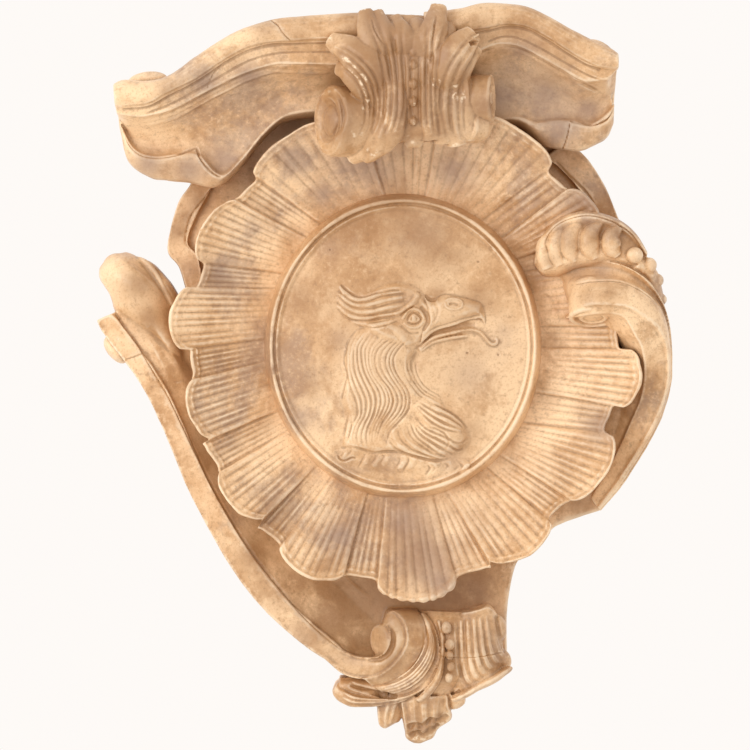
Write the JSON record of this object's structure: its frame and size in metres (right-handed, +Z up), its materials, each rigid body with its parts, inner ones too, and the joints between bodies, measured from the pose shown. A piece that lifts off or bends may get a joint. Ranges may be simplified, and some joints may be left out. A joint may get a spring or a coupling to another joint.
{
  "type": "rococo cartouche",
  "caption": "Carved stone wall cartouche with a scalloped shell frill, an oval medallion with a bird's head, a winged crest, leaf clasps and scroll arms.",
  "frame": {"origin": "on the flat back face, behind the middle of the oval medallion", "axes": "+Z up, +Y out of the back towards the wall, so the carving faces -Y"},
  "size_m": [0.3895, 0.1183, 0.5003],
  "materials": {
    "marble": "half-polished veined marble with darker dirt in the hollows"
  },
  "bodies": {
    "root": {"cartouche": "marble"}
  },
  "joints": []
}
